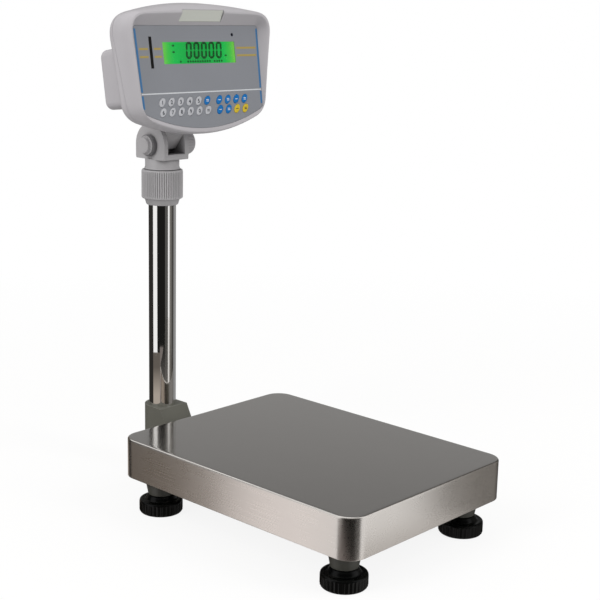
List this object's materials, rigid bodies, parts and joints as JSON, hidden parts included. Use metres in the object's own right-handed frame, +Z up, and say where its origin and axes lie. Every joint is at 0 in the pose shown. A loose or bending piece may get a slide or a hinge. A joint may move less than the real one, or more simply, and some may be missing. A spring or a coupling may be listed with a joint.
{
  "type": "bench scale",
  "caption": "Bench weighing scale with a stainless pan on a cast frame with levelling feet, and a column carrying a tilting, swivelling keypad head with a backlit display.",
  "frame": {"origin": "on the floor under the middle of the whole scale's outline, so the pan's middle is at negative y", "axes": "+Z up, -Y to the front where the user stands, +X to the user's right"},
  "size_m": [0.3, 0.5164, 0.6545],
  "materials": {
    "casting": "satin grey paint over a casting",
    "fastener": "zinc plated",
    "column": "mirror polished stainless tube",
    "cell": "clear anodised",
    "pad": "matt",
    "pan": "fine brushed stainless sheet",
    "clamp": "semi-gloss moulded grey",
    "washer": "matt dark grey",
    "housing": "fine matt texture, light grey",
    "badge": "satin, bare",
    "panel": "satin printed film, blue grey",
    "lcd_glass": "clear window",
    "lcd": "backlit display",
    "bar": "black window",
    "lamp": "dark lens",
    "board": "circuit board",
    "battery": "wrapped cell pack",
    "inlet": "black moulded socket",
    "socket": "plated round socket",
    "foot": "black moulded, ribbed",
    "key_white": "domed white key",
    "key_blue": "domed blue key",
    "key_yellow": "domed yellow key"
  },
  "bodies": {
    "base": {"base_frame": "casting", "column_bracket": "casting", "bracket_bolts": "fastener", "column": "column", "column_screws": "fastener", "load_cell": "cell", "cell_bolts": "fastener", "platform_carrier": "casting", "pan_pads": "pad"},
    "pan": {"platform_pan": "pan"},
    "yoke": {"yoke": "clamp", "tilt_bolt": "clamp", "tilt_washers": "washer"},
    "nut": {"clamp_nut": "clamp"},
    "knob": {"tilt_knob": "clamp"},
    "head": {"head_bracket": "clamp", "bracket_screws": "fastener", "front_bezel": "housing", "badge_plate": "badge", "rear_shell": "housing", "shell_screws": "fastener", "keypad_panel": "panel", "lcd_window": "lcd_glass", "lcd_module": "lcd", "bar_window": "bar", "status_lamp": "lamp", "key_board": "board", "main_board": "board", "battery": "battery", "power_inlet": "inlet", "cell_socket": "socket"},
    "stud_front_left": {"foot_stud_front_left": "fastener"},
    "foot_front_left": {"foot_disc_front_left": "foot"},
    "stud_front_right": {"foot_stud_front_right": "fastener"},
    "foot_front_right": {"foot_disc_front_right": "foot"},
    "stud_back_left": {"foot_stud_back_left": "fastener"},
    "foot_back_left": {"foot_disc_back_left": "foot"},
    "stud_back_right": {"foot_stud_back_right": "fastener"},
    "foot_back_right": {"foot_disc_back_right": "foot"},
    "key_1": {"key_1": "key_white"},
    "key_2": {"key_2": "key_white"},
    "key_3": {"key_3": "key_white"},
    "key_4": {"key_4": "key_white"},
    "key_5": {"key_5": "key_white"},
    "key_6": {"key_6": "key_blue"},
    "key_7": {"key_7": "key_blue"},
    "key_8": {"key_8": "key_blue"},
    "key_9": {"key_9": "key_blue"},
    "key_10": {"key_10": "key_blue"},
    "key_11": {"key_11": "key_white"},
    "key_12": {"key_12": "key_white"},
    "key_13": {"key_13": "key_white"},
    "key_14": {"key_14": "key_white"},
    "key_15": {"key_15": "key_white"},
    "key_16": {"key_16": "key_white"},
    "key_17": {"key_17": "key_blue"},
    "key_18": {"key_18": "key_blue"},
    "key_19": {"key_19": "key_yellow"},
    "key_20": {"key_20": "key_yellow"}
  },
  "joints": [
    {"name": "pan_lift", "type": "slide", "parent": "base", "child": "pan", "axis": [0, 0, 1], "range_m": [0, 0.08]},
    {"name": "head_swivel", "type": "hinge", "parent": "base", "child": "yoke", "pos_m": [0, 0.22875, 0.465], "axis": [0, 0, 1], "range_deg": [-170, 170]},
    {"name": "nut_turn", "type": "hinge", "parent": "yoke", "child": "nut", "pos_m": [0, 0.22875, 0.4109], "axis": [0, 0, 1], "range_deg": [-90, 0]},
    {"name": "head_tilt", "type": "hinge", "parent": "yoke", "child": "head", "pos_m": [0, 0.22875, 0.465], "axis": [1, 0, 0], "range_deg": [-25, 25]},
    {"name": "knob_turn", "type": "hinge", "parent": "yoke", "child": "knob", "pos_m": [0.04, 0.22875, 0.465], "axis": [1, 0, 0], "range_deg": [-360, 0]},
    {"name": "front_left_foot_rise", "type": "slide", "parent": "base", "child": "stud_front_left", "axis": [0, 0, -1], "range_m": [0, 0.012]},
    {"name": "front_left_foot_turn", "type": "hinge", "parent": "stud_front_left", "child": "foot_front_left", "pos_m": [-0.114, -0.21825, 0], "axis": [0, 0, -1], "range_deg": [0, 2880]},
    {"name": "front_right_foot_rise", "type": "slide", "parent": "base", "child": "stud_front_right", "axis": [0, 0, -1], "range_m": [0, 0.012]},
    {"name": "front_right_foot_turn", "type": "hinge", "parent": "stud_front_right", "child": "foot_front_right", "pos_m": [0.114, -0.21825, 0], "axis": [0, 0, -1], "range_deg": [0, 2880]},
    {"name": "back_left_foot_rise", "type": "slide", "parent": "base", "child": "stud_back_left", "axis": [0, 0, -1], "range_m": [0, 0.012]},
    {"name": "back_left_foot_turn", "type": "hinge", "parent": "stud_back_left", "child": "foot_back_left", "pos_m": [-0.114, 0.10175, 0], "axis": [0, 0, -1], "range_deg": [0, 2880]},
    {"name": "back_right_foot_rise", "type": "slide", "parent": "base", "child": "stud_back_right", "axis": [0, 0, -1], "range_m": [0, 0.012]},
    {"name": "back_right_foot_turn", "type": "hinge", "parent": "stud_back_right", "child": "foot_back_right", "pos_m": [0.114, 0.10175, 0], "axis": [0, 0, -1], "range_deg": [0, 2880]},
    {"name": "key_1_press", "type": "slide", "parent": "head", "child": "key_1", "axis": [0, 0.9877, -0.1564], "range_m": [0, 0.0005], "stiffness_N_per_m": 4000},
    {"name": "key_2_press", "type": "slide", "parent": "head", "child": "key_2", "axis": [0, 0.9877, -0.1564], "range_m": [0, 0.0005], "stiffness_N_per_m": 4000},
    {"name": "key_3_press", "type": "slide", "parent": "head", "child": "key_3", "axis": [0, 0.9877, -0.1564], "range_m": [0, 0.0005], "stiffness_N_per_m": 4000},
    {"name": "key_4_press", "type": "slide", "parent": "head", "child": "key_4", "axis": [0, 0.9877, -0.1564], "range_m": [0, 0.0005], "stiffness_N_per_m": 4000},
    {"name": "key_5_press", "type": "slide", "parent": "head", "child": "key_5", "axis": [0, 0.9877, -0.1564], "range_m": [0, 0.0005], "stiffness_N_per_m": 4000},
    {"name": "key_6_press", "type": "slide", "parent": "head", "child": "key_6", "axis": [0, 0.9877, -0.1564], "range_m": [0, 0.0005], "stiffness_N_per_m": 4000},
    {"name": "key_7_press", "type": "slide", "parent": "head", "child": "key_7", "axis": [0, 0.9877, -0.1564], "range_m": [0, 0.0005], "stiffness_N_per_m": 4000},
    {"name": "key_8_press", "type": "slide", "parent": "head", "child": "key_8", "axis": [0, 0.9877, -0.1564], "range_m": [0, 0.0005], "stiffness_N_per_m": 4000},
    {"name": "key_9_press", "type": "slide", "parent": "head", "child": "key_9", "axis": [0, 0.9877, -0.1564], "range_m": [0, 0.0005], "stiffness_N_per_m": 4000},
    {"name": "key_10_press", "type": "slide", "parent": "head", "child": "key_10", "axis": [0, 0.9877, -0.1564], "range_m": [0, 0.0005], "stiffness_N_per_m": 4000},
    {"name": "key_11_press", "type": "slide", "parent": "head", "child": "key_11", "axis": [0, 0.9877, -0.1564], "range_m": [0, 0.0005], "stiffness_N_per_m": 4000},
    {"name": "key_12_press", "type": "slide", "parent": "head", "child": "key_12", "axis": [0, 0.9877, -0.1564], "range_m": [0, 0.0005], "stiffness_N_per_m": 4000},
    {"name": "key_13_press", "type": "slide", "parent": "head", "child": "key_13", "axis": [0, 0.9877, -0.1564], "range_m": [0, 0.0005], "stiffness_N_per_m": 4000},
    {"name": "key_14_press", "type": "slide", "parent": "head", "child": "key_14", "axis": [0, 0.9877, -0.1564], "range_m": [0, 0.0005], "stiffness_N_per_m": 4000},
    {"name": "key_15_press", "type": "slide", "parent": "head", "child": "key_15", "axis": [0, 0.9877, -0.1564], "range_m": [0, 0.0005], "stiffness_N_per_m": 4000},
    {"name": "key_16_press", "type": "slide", "parent": "head", "child": "key_16", "axis": [0, 0.9877, -0.1564], "range_m": [0, 0.0005], "stiffness_N_per_m": 4000},
    {"name": "key_17_press", "type": "slide", "parent": "head", "child": "key_17", "axis": [0, 0.9877, -0.1564], "range_m": [0, 0.0005], "stiffness_N_per_m": 4000},
    {"name": "key_18_press", "type": "slide", "parent": "head", "child": "key_18", "axis": [0, 0.9877, -0.1564], "range_m": [0, 0.0005], "stiffness_N_per_m": 4000},
    {"name": "key_19_press", "type": "slide", "parent": "head", "child": "key_19", "axis": [0, 0.9877, -0.1564], "range_m": [0, 0.0005], "stiffness_N_per_m": 4000},
    {"name": "key_20_press", "type": "slide", "parent": "head", "child": "key_20", "axis": [0, 0.9877, -0.1564], "range_m": [0, 0.0005], "stiffness_N_per_m": 4000}
  ],
  "couplings": [
    {"joint": "front_left_foot_turn", "follows": "front_left_foot_rise", "rad_per_m": 4188.8},
    {"joint": "front_right_foot_turn", "follows": "front_right_foot_rise", "rad_per_m": 4188.8},
    {"joint": "back_left_foot_turn", "follows": "back_left_foot_rise", "rad_per_m": 4188.8},
    {"joint": "back_right_foot_turn", "follows": "back_right_foot_rise", "rad_per_m": 4188.8}
  ]
}
